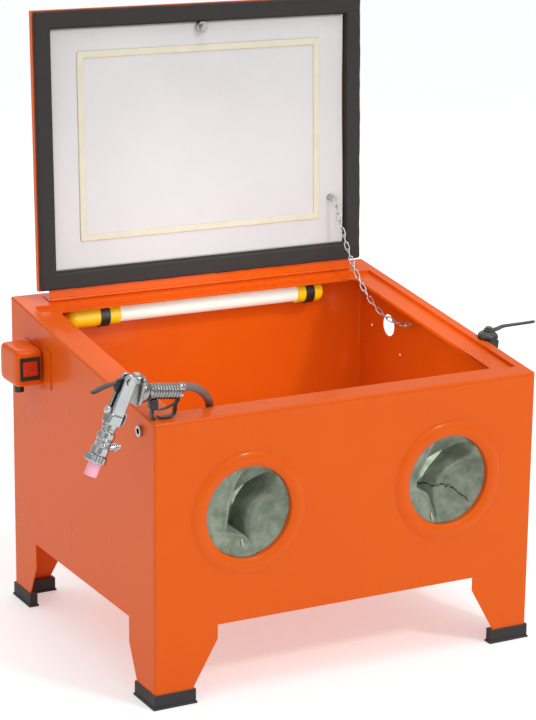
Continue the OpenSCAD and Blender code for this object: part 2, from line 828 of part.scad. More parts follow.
module lid_bolts() {
    color("silver") on_lid() {
        translate([0, knob_v, -lid_depth + sheet]) {
            cylinder(r = 4, h = 17);
            translate([0, 0, glass_t + film_t]) cylinder(r = 8.5, h = 8);
            translate([0, 0, 15]) cylinder(r = 5.5, h = 5, $fn = 6);
        }
        translate([chain_x, chain_v, -lid_depth + sheet]) {
            cylinder(r = 3, h = 15);
            translate([0, 0, glass_t + film_t]) cylinder(r = 6.5, h = 1.6);
            translate([0, 0, 11.5]) cylinder(r = 5, h = 4, $fn = 6);
        }
    }
}

// ---- blast gun ----

module gun_body() {
    color("lightgray") {
        on_gun() {
            translate([14, 0, -13.5]) rotate([0, 14, 0]) cube([5, 30, 40], center = true);
            translate([15.5, 0, -15]) rotate([0, handle_tilt, 0]) cylinder(r = 16, h = 15);
            difference() {
                translate([7, -10, -5.5]) cube([10, 20, 12]);
                rotate([90, 0, 0]) cylinder(r = 10.3, h = 30, center = true);
            }
        }
        on_handle() {
            cylinder(r = handle_r - 1.6, h = handle_l);
            for (i = [0 : 9]) translate([0, 0, 2 + i * 4]) cylinder(r = handle_r, h = 2.4);
            translate([tail_up, 0, handle_l - 1]) cylinder(r = 6.2, h = 6.9);
        }
    }
}

module gun_grip() {
    color("gray") on_gun() translate([0, 6, 0]) rotate([90, 0, 0]) linear_extrude(12)
        polygon([[29, -28.3], [69, -33.2], [69, -55], [63, -55], [59, -47], [43, -45.5],
            [38, -55], [31, -55]]);
}

module gun_barrel() {
    color("silver") on_barrel() difference() {
        union() {
            rotate([90, 0, 0]) cylinder(r = 10, h = 22, center = true);
            translate([-10, -11, 0]) cube([20, 22, 60]);
            translate([0, 0, 58]) cylinder(r = 10, h = 8);
            translate([0, 0, 66]) cylinder(r = 9, h = 5);
            translate([0, 0, 70]) cylinder(r = barrel_r, h = 13);
            translate([0, 0, 83]) cylinder(r = barrel_r - 1.5, h = 3);
            translate([0, 0, 86]) cylinder(r = barrel_r, h = 16);
            translate([-8, 0, 91]) rotate([0, -115, 0]) {
                cylinder(r = 4, h = 18);
                translate([0, 0, 12]) cylinder(r = 5.5, h = 4, $fn = 6);
            }
            translate([-17, -5, 40]) cube([4, 10, 18]);
            translate([-14, -5, 44]) cube([6, 10, 4]);
        }
        translate([-8, -3, -12]) cube([23, 6, 62]);
        rotate([90, 0, 0]) cylinder(r = 2.5, h = 40, center = true);
    }
}

module gun_screws() {
    color("lightsteelblue") {
        on_barrel() {
            rotate([90, 0, 0]) cylinder(r = 2.45, h = 22, center = true);
            for (s = [-1, 1]) translate([0, s * 12, 0]) rotate([90, 0, 0])
                cylinder(r = 5.5, h = 2, center = true);
            translate([10, 0, 43]) rotate([0, 90, 0]) cylinder(r = 5.5, h = 6);
        }
        on_gun() translate([12, 0, 6.5]) cylinder(r = 5, h = 3.4);
        on_handle() translate([5.2, 0, handle_l]) cylinder(r = 4, h = 6, $fn = 6);
    }
}

module nozzle_nut() {
    color("silver") on_barrel() translate([0, 0, 102]) difference() {
        union() {
            cylinder(r = 14.5, h = 11, $fn = 6);
            for (a = [0 : 120 : 240]) rotate(a + 20) translate([11, -3, 1]) cube([6, 6, 9]);
        }
        translate([0, 0, 3]) cylinder(r = 8.6, h = 20);
        translate([0, 0, -1]) cylinder(r = 3, h = 20);
    }
}

module nozzle() {
    color("pink") on_barrel() translate([0, 0, 105]) difference() {
        cylinder(r = 8.5, h = gun_l - 105);
        translate([0, 0, -1]) cylinder(r = 3, h = 40);
    }
}

module gun_trigger() {
    color("black") on_gun() rotate([90, 0, 0]) difference() {
        union() {
            linear_extrude(5, center = true) union() {
                circle(6);
                polygon([[-4, 5], [-14, 4], [-20, -3], [-18, -14], [-9, -12], [0, -6]]);
            }
            linear_extrude(12, center = true)
                polygon([[-19, 3.2], [-22, 2.5], [-50, -6], [-53, -8.5], [-51, -11], [-21, -4.8], [-19, -4]]);
        }
        cylinder(r = 2.5, h = 20, center = true);
    }
}

front_panel();
left_panel();
right_panel();
rear_panel();
rim_front();
rim_rear();
rim_left();
rim_right();
floor_pan();
floor_screws();
grate_supports();
work_grate();
leg_front_left();
leg_front_right();
leg_rear_left();
leg_rear_right();
foot_front_left();
foot_front_right();
foot_rear_left();
foot_rear_right();
leg_bolts();
port_ring_left();
port_ring_right();
glove_left();
glove_right();
glove_clamps();
lamp_diffuser();
lamp_cap_left();
lamp_cap_right();
lamp_clips();
lamp_tube();
switch_box();
switch_plate();
switch_bezel();
cable_gland();
power_rocker();
hinge_leaf_body();
hinge_leaf_lid();
hinge_pin();
latch_bracket();
latch_lever();
air_fitting();
air_hose();
chain_anchor();
stay_chain();
lid_frame();
lid_gasket();
window_glass();
window_border();
lid_film();
lid_knob();
lid_bolts();
gun_body();
gun_grip();
gun_barrel();
gun_screws();
nozzle_nut();
nozzle();
gun_trigger();
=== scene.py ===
import json
import math

import bmesh
import bpy
import numpy as np
from mathutils import Matrix, Vector


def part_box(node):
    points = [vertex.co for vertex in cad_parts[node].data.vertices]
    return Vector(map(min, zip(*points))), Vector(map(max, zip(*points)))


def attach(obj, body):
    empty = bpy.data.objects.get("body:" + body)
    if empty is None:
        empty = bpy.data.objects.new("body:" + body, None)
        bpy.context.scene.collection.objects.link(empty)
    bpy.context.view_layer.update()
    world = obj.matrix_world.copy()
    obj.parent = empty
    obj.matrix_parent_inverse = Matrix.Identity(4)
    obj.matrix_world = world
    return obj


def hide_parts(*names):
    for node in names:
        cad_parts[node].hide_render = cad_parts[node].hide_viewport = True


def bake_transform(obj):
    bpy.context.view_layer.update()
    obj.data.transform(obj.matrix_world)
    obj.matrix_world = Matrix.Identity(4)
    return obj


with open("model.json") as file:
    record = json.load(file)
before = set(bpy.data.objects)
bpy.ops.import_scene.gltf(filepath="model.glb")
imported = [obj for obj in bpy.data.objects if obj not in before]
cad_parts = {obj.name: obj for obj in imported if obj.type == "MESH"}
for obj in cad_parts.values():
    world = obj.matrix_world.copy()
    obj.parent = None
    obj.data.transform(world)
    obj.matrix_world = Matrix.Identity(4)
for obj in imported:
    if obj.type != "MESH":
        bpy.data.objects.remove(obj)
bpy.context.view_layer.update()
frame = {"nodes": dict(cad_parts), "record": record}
mm = 0.001  # sizes below are in millimetres, while the scene and the frame are in metres
perMetre = 1000
joints = {joint["name"]: joint for joint in frame["record"]["behaviour"]["joints"]}
jointPlace = {name: perMetre * np.array(joint.get("pos_m", (0, 0, 0))) for name, joint in joints.items()}


def corners(node):
    low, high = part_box(node)
    return perMetre * np.array(low), perMetre * np.array(high)


def rgb(red, green, blue):
    # screen colour 0-255 to the linear light that shaders work in
    c = np.array([red, green, blue]) / 255
    return (*np.where(c <= 0.04045, c / 12.92, ((c + 0.055) / 1.055) ** 2.4), 1)


def addNode(tree, kind, links=None, **values):
    # a node with its properties set; links maps its input names to values or to other nodes' outputs
    node = tree.nodes.new(kind)
    for key, value in values.items():
        setattr(node, key, value)
    for key, value in (links or {}).items():
        if isinstance(value, bpy.types.NodeSocket):
            tree.links.new(value, node.inputs[key])
        else:
            node.inputs[key].default_value = value
    return node


# camera at the angle of a person standing left of the front; its reach is in metres
cameraPlace = {"azimuth": -28.32, "elevation": 15.07, "roll": 0.66, "distance": 3401.3,
               "target": (3.8, 3.5, 386.1), "lens": 118.7, "sensor": 36, "reach": 40}
azimuth = math.radians(cameraPlace["azimuth"])
elevation = math.radians(cameraPlace["elevation"])
level = math.cos(elevation)
back = np.array([math.sin(azimuth) * level, -math.cos(azimuth) * level, math.sin(elevation)])
cameraData = bpy.data.cameras.new("camera")
cameraData.sensor_fit = "AUTO"
cameraData.sensor_width = cameraPlace["sensor"]
cameraData.lens = cameraPlace["lens"]
cameraData.clip_end = cameraPlace["reach"]
camera = bpy.data.objects.new("camera", cameraData)
camera.location = mm * (np.array(cameraPlace["target"]) + cameraPlace["distance"] * back)
camera.rotation_mode = "QUATERNION"
aim = (-Vector(back)).to_track_quat("-Z", "Y")
camera.rotation_quaternion = aim @ Matrix.Rotation(math.radians(cameraPlace["roll"]), 3, "Z").to_quaternion()
bpy.context.scene.collection.objects.link(camera)
bpy.context.scene.camera = camera

# studio: a sky whose light grows from the horizon up, a pale floor, and soft lamps; a lamp has its place,
# the point it is turned to and its size in metres, and its power in watts
studio = {
    "seen": 1.0, "low": 0.3, "high": 0.86, "lowBelow": -0.05, "highAbove": 0.75,
    "floor": rgb(219, 225, 226), "floorPale": rgb(229, 229, 231), "floorGlow": 0.42,
    "floorHalf": 12000, "floorLevel": -0.5,
    "lamps": [
        ("key", (1.3, -3.0, 3.0), (0, 0, 0.3), 0.5, 45),
        ("fill", (-3.0, -1.2, 1.6), (0, 0, 0.3), 1.6, 3),
        ("top", (0.1, -0.9, 3.2), (0, 0, 0.3), 1.0, 12),
        ("back", (0.8, 3.0, 2.4), (0, 0, 0.3), 2.0, 16),
        ("inside", (0, -0.13, 0.44), (0.02, 0.24, 0.33), 0.4, 1.1),
    ],
}
world = bpy.data.worlds.new("studio")
world.use_nodes = True
sky = world.node_tree
way = addNode(sky, "ShaderNodeTexCoord").outputs["Generated"]
height = addNode(sky, "ShaderNodeSeparateXYZ", {"Vector": way}).outputs["Z"]
glow = addNode(sky, "ShaderNodeMapRange", {
    "Value": height, "From Min": studio["lowBelow"], "From Max": studio["highAbove"],
    "To Min": studio["low"], "To Max": studio["high"]})
# the backdrop itself stays white to the camera; inputs 2 and 3 are the mix node's two numbers
seen = addNode(sky, "ShaderNodeLightPath").outputs["Is Camera Ray"]
strength = addNode(sky, "ShaderNodeMix", {"Factor": seen, 2: glow.outputs["Result"], 3: studio["seen"]})
sky.links.new(strength.outputs[0], sky.nodes["Background"].inputs["Strength"])
sky.nodes["Background"].inputs["Color"].default_value = (1, 1, 1, 1)
bpy.context.scene.world = world
bpy.context.scene.view_settings.view_transform = "Standard"
for name, place, aimed, size, power in studio["lamps"]:
    light = bpy.data.lights.new(name, "AREA")
    light.size = size
    light.energy = power
    lamp = bpy.data.objects.new(name, light)
    lamp.location = place
    lamp.rotation_euler = (Vector(aimed) - Vector(place)).to_track_quat("-Z", "Y").to_euler()
    lamp.visible_camera = False
    bpy.context.scene.collection.objects.link(lamp)
print("camera and studio")


def quadCorners(grid):
    # the four corners of each cell of a grid, one cell after the other
    return np.stack([grid[:-1, :-1], grid[:-1, 1:], grid[1:, 1:], grid[1:, :-1]], -1).reshape(-1, 4)


def sheetFaces(rows, cols, wrapAcross, wrapAlong, offset):
    # quads between neighbouring points of a grid, with each corner's share of the way along and across
    index = np.arange(rows * cols).reshape(rows, cols) + offset
    across, along = np.meshgrid(np.arange(cols + wrapAcross) / cols, np.arange(rows + wrapAlong) / rows)
    if wrapAcross:
        index = np.concatenate([index, index[:, :1]], 1)
    if wrapAlong:
        index = np.concatenate([index, index[:1]], 0)
    return quadCorners(index), np.stack([quadCorners(across), quadCorners(along)], -1)


def surfaceMesh(name, grids, wrapAcross=True, wrapAlong=False, caps=True, sharp=40):
    # one mesh from grids of points in millimetres; open ends of a wrapped grid get a flat cap
    faces, uvs, points, offset = [], [], [], 0
    for grid in grids:
        rows, cols = grid.shape[:2]
        quads, uv = sheetFaces(rows, cols, wrapAcross, wrapAlong, offset)
        faces += quads.tolist()
        uvs.append(uv.reshape(-1, 2))
        if caps and wrapAcross and not wrapAlong:
            faces += [list(range(offset + cols - 1, offset - 1, -1)),
                      list(range(offset + (rows - 1) * cols, offset + rows * cols))]
            uvs.append(np.full((2 * cols, 2), 0.5))
        points.append(grid.reshape(-1, 3))
        offset += rows * cols
    mesh = bpy.data.meshes.new(name)
    mesh.from_pydata((mm * np.concatenate(points)).tolist(), [], faces)
    mesh.uv_layers.new(name="UVMap").data.foreach_set("uv", np.concatenate(uvs).ravel())
    if caps:
        outward(mesh)
    mesh.polygons.foreach_set("use_smooth", np.ones(len(mesh.polygons), bool))
    mesh.set_sharp_from_angle(angle=math.radians(sharp))
    return mesh


def outward(mesh):
    work = bmesh.new()
    work.from_mesh(mesh)
    bmesh.ops.recalc_face_normals(work, faces=work.faces)
    work.to_mesh(mesh)
    work.free()


def addPiece(name, grids, slot, body, replaces, **shape):
    # shape is passed on to surfaceMesh; a piece that is blended between two bodies has no body of its own
    mesh = surfaceMesh(name, grids, **shape)
    piece = bpy.data.objects.new(name, mesh)
    bpy.context.scene.collection.objects.link(piece)
    mesh.materials.append(finish[slot])
    if body:
        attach(piece, body)
    if replaces:
        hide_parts(*replaces)
    return piece


def turned(axis, degrees):
    c, s = math.cos(math.radians(degrees)), math.sin(math.radians(degrees))
    return np.array({"x": [[1, 0, 0], [0, c, -s], [0, s, c]], "y": [[c, 0, s], [0, 1, 0], [-s, 0, c]],
                     "z": [[c, -s, 0], [s, c, 0], [0, 0, 1]]}[axis])


def placed(points, matrix, origin):
    return points @ matrix.T + np.array(origin)


def lathe(profile, steps):
    # profile points (radius, height) carried round the Z axis
    profile = np.array(profile, float)
    angle = np.radians(np.arange(steps) * 360 / steps)
    r, h = profile[:, :1], profile[:, 1:]
    return np.stack([r * np.cos(angle), r * np.sin(angle), h + 0 * angle], -1)


def smoothPath(points, count):
    # Catmull-Rom curve through the points, sampled at equal steps of its parameter
    p = np.array(points, float)
    p = np.concatenate([2 * p[:1] - p[1:2], p, 2 * p[-1:] - p[-2:-1]])
    t = np.linspace(0, len(p) - 3 - 1e-9, count)
    i, f = t.astype(int), (t % 1)[:, None]
    a, b, c, d = p[i], p[i + 1], p[i + 2], p[i + 3]
    square = 2 * a - 5 * b + 4 * c - d
    cube = 3 * b - a - 3 * c + d
    return 0.5 * (2 * b + (c - a) * f + square * f ** 2 + cube * f ** 3)


def tube(path, radius, sides, sideHint=(0.31, -0.2, 0.93), flatten=1):
    # a circle, or an ellipse flattened across the hint, square to the path at each of its points
    along = np.gradient(path, axis=0)
    along /= np.linalg.norm(along, axis=1, keepdims=True)
    side = np.cross(along, sideHint)
    side /= np.linalg.norm(side, axis=1, keepdims=True)
    up = np.cross(side, along)
    angle = np.arange(sides) * 2 * np.pi / sides
    radius = np.broadcast_to(np.asarray(radius, float).reshape(-1, 1, 1), (len(path), 1, 1))
    ring = side[:, None] * np.cos(angle)[:, None] + flatten * up[:, None] * np.sin(angle)[:, None]
    return path[:, None] + radius * ring


def evenSteps(line, count):
    # points at equal steps round a closed flat line, with the normals on the right of its course
    run = np.concatenate([[0], np.cumsum(np.linalg.norm(np.diff(line, axis=0), axis=1))])
    at = np.arange(count) * run[-1] / count
    even = np.stack([np.interp(at, run, line[:, k]) for k in (0, 1)], -1)
    along = np.roll(even, -1, 0) - np.roll(even, 1, 0)
    along /= np.linalg.norm(along, axis=1, keepdims=True)
    return even, np.stack([along[:, 1], -along[:, 0]], -1)


def loopPath(width, length, radius, count):
    # rounded rectangle: quarter circles at four corner centres, with outward normals
    angle = np.radians(np.arange(0, 360, 7.5))
    quarter = (angle // (np.pi / 2)).astype(int)
    cx = np.array([1, -1, -1, 1])[quarter] * (width / 2 - radius)
    cy = np.array([1, 1, -1, -1])[quarter] * (length / 2 - radius)
    line = np.stack([cx + radius * np.cos(angle), cy + radius * np.sin(angle)], -1)
    return evenSteps(np.concatenate([line, line[:1]]), count)


def outline(points, count, steps=40):
    # closed smooth curve through the points, with outward normals; the curve is first run on past both
    # ends, so that it closes smoothly, and the extra is cut off
    p = np.array(points, float)
    line = smoothPath(np.concatenate([p[-2:], p, p[:3]]), steps * (len(p) + 5))
    even, side = evenSteps(line[2 * steps:1 - 2 * steps], count)
    return even, side * np.sign(np.sum(side * (even - even.mean(0))))


def slab(path, normal, thick, edge):
    # a plate of the loop's outline with quarter-round edges, its middle on height 0
    a = np.radians(np.linspace(0, 90, 6))
    inset = np.concatenate([edge * (1 - np.sin(a)), edge * (1 - np.sin(a[::-1]))])
    high = np.concatenate([-thick / 2 + edge * (1 - np.cos(a)), thick / 2 - edge * (1 - np.cos(a[::-1]))])
    flat = path[None] - normal[None] * inset[:, None, None]
    return np.concatenate([flat, np.broadcast_to(high[:, None, None], (*flat.shape[:2], 1))], -1)


def roundedBar(path, normal, width, height, radius, wobble):
    # a rounded section swept round a flat loop; the section stands on height 0 and reaches inwards by width
    section, _ = loopPath(width, height, radius, 28)
    s = np.arange(len(path)) * 2 * np.pi / len(path)
    shift = wobble * (np.sin(17 * s) + 0.6 * np.sin(41 * s + 1) + 0.5 * np.sin(73 * s + 2))[:, None]
    inward = -(section[:, 0] + width / 2)[None, :] + shift * (section[:, 0] < 0)
    flat = path[:, None, :] + normal[:, None, :] * inward[..., None]
    high = np.broadcast_to(section[:, 1] + height / 2, inward.shape) + 0.2 * shift * (section[:, 1] > 0)
    return np.concatenate([flat, high[..., None]], -1)


def fuller(value, power):
    # a sine or cosine to the power 2/p with its sign kept, which swells a circle towards a square
    return np.sign(value) * np.abs(value) ** (2 / power)


def roundedBlock(half, power, steps):
    # superellipsoid: |x/a|^p + |y/b|^p + |z/c|^p = 1, on a grid of longitude and latitude
    pole = np.pi / 2 - 0.004
    lat = np.linspace(-pole, pole, steps // 2)[:, None]
    lon = np.arange(steps) * 2 * np.pi / steps
    x = fuller(np.cos(lat), power) * fuller(np.cos(lon), power) * half[0]
    y = fuller(np.cos(lat), power) * fuller(np.sin(lon), power) * half[1]
    return np.stack([x, y, np.broadcast_to(fuller(np.sin(lat), power) * half[2], x.shape)], -1)


def waves(u, v, seed, octaves, scale):
    # smooth unevenness: sines of growing frequency with fixed random directions and phases
    rng = np.random.default_rng(seed)
    total = 0
    for k in range(octaves * 3):
        f = scale * 1.6 ** (k / 2)
        d, ph = rng.uniform(0, 2 * np.pi, 2)
        total = total + np.sin(f * (u * np.cos(d) + v * np.sin(d)) + ph) / 1.45 ** (k / 2)
    return total / 4


def newGroup(name, inputs, outputs):
    group = bpy.data.node_groups.new(name, "ShaderNodeTree")
    for label, kind, value in inputs:
        socket = group.interface.new_socket(label, in_out="INPUT", socket_type=kind)
        socket.default_value = value
    for label, kind in outputs:
        group.interface.new_socket(label, in_out="OUTPUT", socket_type=kind)
    return group, group.nodes.new("NodeGroupInput"), group.nodes.new("NodeGroupOutput")


colour, number, white = "NodeSocketColor", "NodeSocketFloat", (1, 1, 1, 1)


def multiplied(tree, one, other):
    return addNode(tree, "ShaderNodeMath", {0: one, 1: other}, operation="MULTIPLY").outputs[0]


def mixedColour(tree, share, first, second):
    # inputs 6 and 7 are the mix node's two colours, and output 2 is the mixed one
    mix = addNode(tree, "ShaderNodeMix", {"Factor": share, 6: first, 7: second}, data_type="RGBA")
    return mix.outputs[2]


def buildMottle():
    # cloudy noise that mixes a colour with its light variant
    group, given, out = newGroup(
        "mottle", [("Color", colour, white), ("Light", colour, white), ("Scale", number, 20),
                   ("Amount", number, 0.3)], [("Color", colour), ("Mask", number)])
    place = addNode(group, "ShaderNodeTexCoord").outputs["Object"]
    cloud = addNode(group, "ShaderNodeTexNoise", {"Vector": place, "Scale": given.outputs["Scale"],
                                                  "Detail": 5.0, "Roughness": 0.62})
    ramp = addNode(group, "ShaderNodeMapRange", {"Value": cloud.outputs["Fac"], "From Min": 0.35,
                                                 "From Max": 0.68})
    share = multiplied(group, ramp.outputs["Result"], given.outputs["Amount"])
    mixed = mixedColour(group, share, given.outputs["Color"], given.outputs["Light"])
    group.links.new(mixed, out.inputs["Color"])
    group.links.new(ramp.outputs["Result"], out.inputs["Mask"])
    return group


def buildGrain():
    # fine height: small noise mixed with cells, for peel, pores and leather grain
    group, given, out = newGroup("grain", [("Scale", number, 400), ("Cells", number, 0.3)],
                                 [("Height", number)])
    place = addNode(group, "ShaderNodeTexCoord").outputs["Object"]
    field = {"Vector": place, "Scale": given.outputs["Scale"]}
    fine = addNode(group, "ShaderNodeTexNoise", {**field, "Detail": 3.0}).outputs["Fac"]
    cells = addNode(group, "ShaderNodeTexVoronoi", field, feature="DISTANCE_TO_EDGE").outputs["Distance"]
    mix = addNode(group, "ShaderNodeMix", {"Factor": given.outputs["Cells"], 2: fine, 3: cells})
    group.links.new(mix.outputs[0], out.inputs["Height"])
    return group


def buildDust():
    # pale dust that settles on upward faces, broken up by noise
    group, given, out = newGroup(
        "dust", [("Color", colour, white), ("Dust", colour, (0.6, 0.57, 0.52, 1)),
                 ("Amount", number, 0.15)], [("Color", colour)])
    normal = addNode(group, "ShaderNodeNewGeometry").outputs["Normal"]
    rise = addNode(group, "ShaderNodeSeparateXYZ", {"Vector": normal}).outputs["Z"]
    place = addNode(group, "ShaderNodeTexCoord").outputs["Object"]
    noise = addNode(group, "ShaderNodeTexNoise", {"Vector": place, "Scale": 35.0, "Detail": 6.0,
                                                  "Roughness": 0.7})
    upward = addNode(group, "ShaderNodeMapRange", {"Value": rise, "From Min": 0.2, "From Max": 1.0})
    patches = multiplied(group, upward.outputs["Result"], noise.outputs["Fac"])
    share = multiplied(group, patches, given.outputs["Amount"])
    mixed = mixedColour(group, share, given.outputs["Color"], given.outputs["Dust"])
    group.links.new(mixed, out.inputs["Color"])
    return group


groups = {"mottle": buildMottle(), "grain": buildGrain(), "dust": buildDust()}
grainDepth = 0.6 * mm


def useGroup(tree, name, links):
    return addNode(tree, "ShaderNodeGroup", links, node_tree=groups[name])


def finishMaterial(name, color, light, scale, amount, rough, grain, dust=0.0, metal=0.0, extra=None):
    # one finish: mottled colour with dust on top, roughness that varies with the mottle, and fine grain in
    # the bump; grain is its scale, its share of cells and its strength
    material = bpy.data.materials.new(name)
    material.use_nodes = True
    tree = material.node_tree
    shader = tree.nodes["Principled BSDF"]
    mottle = useGroup(tree, "mottle", {"Color": color, "Light": light, "Scale": scale, "Amount": amount})
    dusty = useGroup(tree, "dust", {"Color": mottle.outputs["Color"], "Amount": dust})
    roughness = addNode(tree, "ShaderNodeMapRange", {"Value": mottle.outputs["Mask"], "To Min": rough[0],
                                                     "To Max": rough[1]})
    height = useGroup(tree, "grain", {"Scale": grain[0], "Cells": grain[1]})
    bump = addNode(tree, "ShaderNodeBump", {"Strength": grain[2], "Distance": grainDepth,
                                            "Height": height.outputs["Height"]})
    tree.links.new(dusty.outputs["Color"], shader.inputs["Base Color"])
    tree.links.new(roughness.outputs["Result"], shader.inputs["Roughness"])
    tree.links.new(bump.outputs["Normal"], shader.inputs["Normal"])
    shader.inputs["Metallic"].default_value = metal
    for key, value in (extra or {}).items():
        shader.inputs[key].default_value = value
    return material


finish = {
    "orange_paint": finishMaterial(
        "orangePaint", rgb(221, 89, 14), rgb(227, 97, 20), scale=6.0, amount=0.5, rough=(0.26, 0.36),
        grain=(900.0, 0.0, 0.05), dust=0.02,
        extra={"Specular IOR Level": 0.08, "Coat Weight": 0.12, "Coat Roughness": 0.06}),
    "zinc_steel": finishMaterial(
        "zincSteel", rgb(190, 190, 186), rgb(214, 212, 205), scale=90.0, amount=0.6, rough=(0.22, 0.42),
        grain=(700.0, 0.4, 0.15), dust=0.1, metal=1.0),
    "dark_steel": finishMaterial(
        "coatedWire", rgb(58, 58, 60), rgb(84, 82, 78), scale=60.0, amount=0.5, rough=(0.5, 0.7),
        grain=(600.0, 0.3, 0.2), dust=0.4),
    "black_rubber": finishMaterial(
        "bootRubber", rgb(30, 29, 29), rgb(52, 50, 48), scale=40.0, amount=0.6, rough=(0.55, 0.75),
        grain=(500.0, 0.5, 0.2), dust=0.3),
    "glove_leather": finishMaterial(
        "gloveLeather", rgb(108, 121, 104), rgb(156, 167, 150), scale=42.0, amount=0.95, rough=(0.55, 0.8),
        grain=(650.0, 0.7, 0.55), extra={"Sheen Weight": 0.2, "Specular IOR Level": 0.2}),
    # the diffuser's emission is a painted glow: it brightens the tube in the dim cabinet, though the lamp is
    # not lit
    "lamp_white": finishMaterial(
        "lampWhitePaintedGlow", rgb(236, 240, 230), rgb(244, 246, 238), scale=30.0, amount=0.2, rough=(0.3, 0.36),
        grain=(300.0, 0.0, 0.03), extra={"Emission Color": rgb(240, 245, 232), "Emission Strength": 0.16}),
    "yellow_plastic": finishMaterial(
        "capYellow", rgb(255, 212, 4), rgb(255, 220, 30), scale=25.0, amount=0.4, rough=(0.25, 0.4),
        grain=(700.0, 0.2, 0.08), dust=0.1),
    "black_plastic": finishMaterial(
        "blackPlastic", rgb(26, 26, 27), rgb(48, 47, 47), scale=60.0, amount=0.5, rough=(0.3, 0.48),
        grain=(1400.0, 0.5, 0.22), dust=0.2),
    "red_plastic": finishMaterial(
        "redPlastic", rgb(196, 44, 18), rgb(214, 62, 28), scale=50.0, amount=0.4, rough=(0.22, 0.32),
        grain=(900.0, 0.2, 0.06), dust=0.1),
    "nickel": finishMaterial(
        "nickelPlate", rgb(176, 177, 177), rgb(200, 200, 199), scale=60.0, amount=0.4, rough=(0.08, 0.16),
        grain=(700.0, 0.0, 0.04), metal=1.0),
    "hose_rubber": finishMaterial(
        "hoseRubber", rgb(108, 84, 81), rgb(138, 114, 109), scale=45.0, amount=0.6, rough=(0.42, 0.58),
        grain=(900.0, 0.4, 0.2), dust=0.1),
    "black_foam": finishMaterial(
        "blackFoam", rgb(38, 35, 34), rgb(55, 51, 49), scale=70.0, amount=0.7, rough=(0.75, 0.95),
        grain=(900.0, 0.9, 0.7), dust=0.05),
    "cream_tape": finishMaterial(
        "creamTape", rgb(206, 199, 177), rgb(217, 211, 192), scale=40.0, amount=0.6, rough=(0.5, 0.65),
        grain=(500.0, 0.3, 0.15)),
    "white_film": finishMaterial(
        "whiteFilm", rgb(201, 198, 198), rgb(210, 207, 208), scale=5.0, amount=0.7, rough=(0.3, 0.45),
        grain=(60.0, 0.0, 0.12), extra={"Specular IOR Level": 0.3}),
    "cast_aluminium": finishMaterial(
        "castAluminium", rgb(146, 143, 141), rgb(178, 176, 174), scale=110.0, amount=0.6, rough=(0.16, 0.3),
        grain=(700.0, 0.5, 0.15), dust=0.04, metal=1.0),
    "pink_ceramic": finishMaterial(
        "pinkCeramic", rgb(248, 168, 196), rgb(252, 190, 212), scale=60.0, amount=0.5, rough=(0.35, 0.5),
        grain=(800.0, 0.3, 0.12)),
    "clear_glass": finishMaterial(
        "clearGlass", rgb(228, 238, 236), rgb(230, 240, 238), scale=3.0, amount=0.1, rough=(0.04, 0.042),
        grain=(30.0, 0.0, 0.01), extra={"Transmission Weight": 0.9, "IOR": 1.5}),
}
for entry in frame["record"]["subparts"]:
    node = frame["nodes"][entry["node"]]
    for place in node.material_slots:
        place.material = finish[entry["material_slot"]]
print("materials are on the frame")

# pale floor that gives back a little light, so that it runs into the white backdrop
floorMaterial = finishMaterial(
    "paleFloor", studio["floor"], studio["floorPale"], scale=3.0, amount=0.3, rough=(0.8, 0.9),
    grain=(80.0, 0.0, 0.02), extra={"Emission Color": white, "Emission Strength": studio["floorGlow"],
                                    "Specular IOR Level": 0.05})
edges = np.linspace(-studio["floorHalf"], studio["floorHalf"], 4)
gx, gy = np.meshgrid(edges, edges)
ground = np.stack([gx, gy, np.full_like(gx, studio["floorLevel"])], -1)
floor = bpy.data.objects.new("floor", surfaceMesh("floor", [ground], wrapAcross=False, caps=False))
floor.data.materials.append(floorMaterial)
bpy.context.scene.collection.objects.link(floor)
print("floor")

# air hose: the same route as its solid
hose = {"diameter": 11, "sides": 20, "samples": 420, "route": [
    (-245.1, -226, 435.8), (-235.2, -226, 434.6), (-225, -224, 430.3), (-214, -219, 422.5),
    (-204, -211.5, 412.5), (-196, -200, 404), (-188.5, -188.5, 391.5), (-183.5, -177, 375),
    (-181, -164, 357.5), (-180, -148, 341), (-180, -129, 325), (-181, -107, 306),
    (-183, -86, 283), (-186, -68, 257), (-189, -54, 229), (-191, -42, 200), (-193, -28, 173),
    (-194, -8, 152), (-192, 18, 144), (-187, 46, 143), (-183, 74, 143), (-184, 102, 143),
    (-194, 128, 143), (-215, 145, 143), (-241, 147, 143), (-264, 133, 143), (-276, 110, 143),
    (-279, 84, 143), (-279, 54, 143), (-279, 24, 143), (-279, -6, 143), (-279, -36, 143),
    (-279, -66, 143), (-279, -96, 143), (-279, -126, 143), (-280, -150, 144), (-281, -170, 151),
    (-282, -185, 163), (-283, -195, 180), (-284, -200, 202), (-284, -201, 232), (-284, -201, 262),
    (-284, -201, 292), (-284, -201, 322), (-284, -201, 356.8)]}
cabinetMiddleY = -3.5
hoseLine = smoothPath(np.array(hose["route"]) + (0, cabinetMiddleY, 0), hose["samples"])
airHose = addPiece("airHose", [tube(hoseLine, hose["diameter"] / 2, hose["sides"])], "hose_rubber", None,
                   ["air_hose"])
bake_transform(airHose)

# pressed rings round the arm holes
ports = {"bead": 4.5, "inner": 64, "outer": 86, "collar": 22}


def portPoints(points, side):
    # port frame: X right, Y up, Z into the cabinet
    low, high = corners("port_ring_right" if side > 0 else "port_ring_left")
    middle = ((low[0] + high[0]) / 2, low[1] + ports["bead"], (low[2] + high[2]) / 2)
    return placed(points, np.array([[1, 0, 0], [0, 0, 1], [0, 1, 0]]), middle)


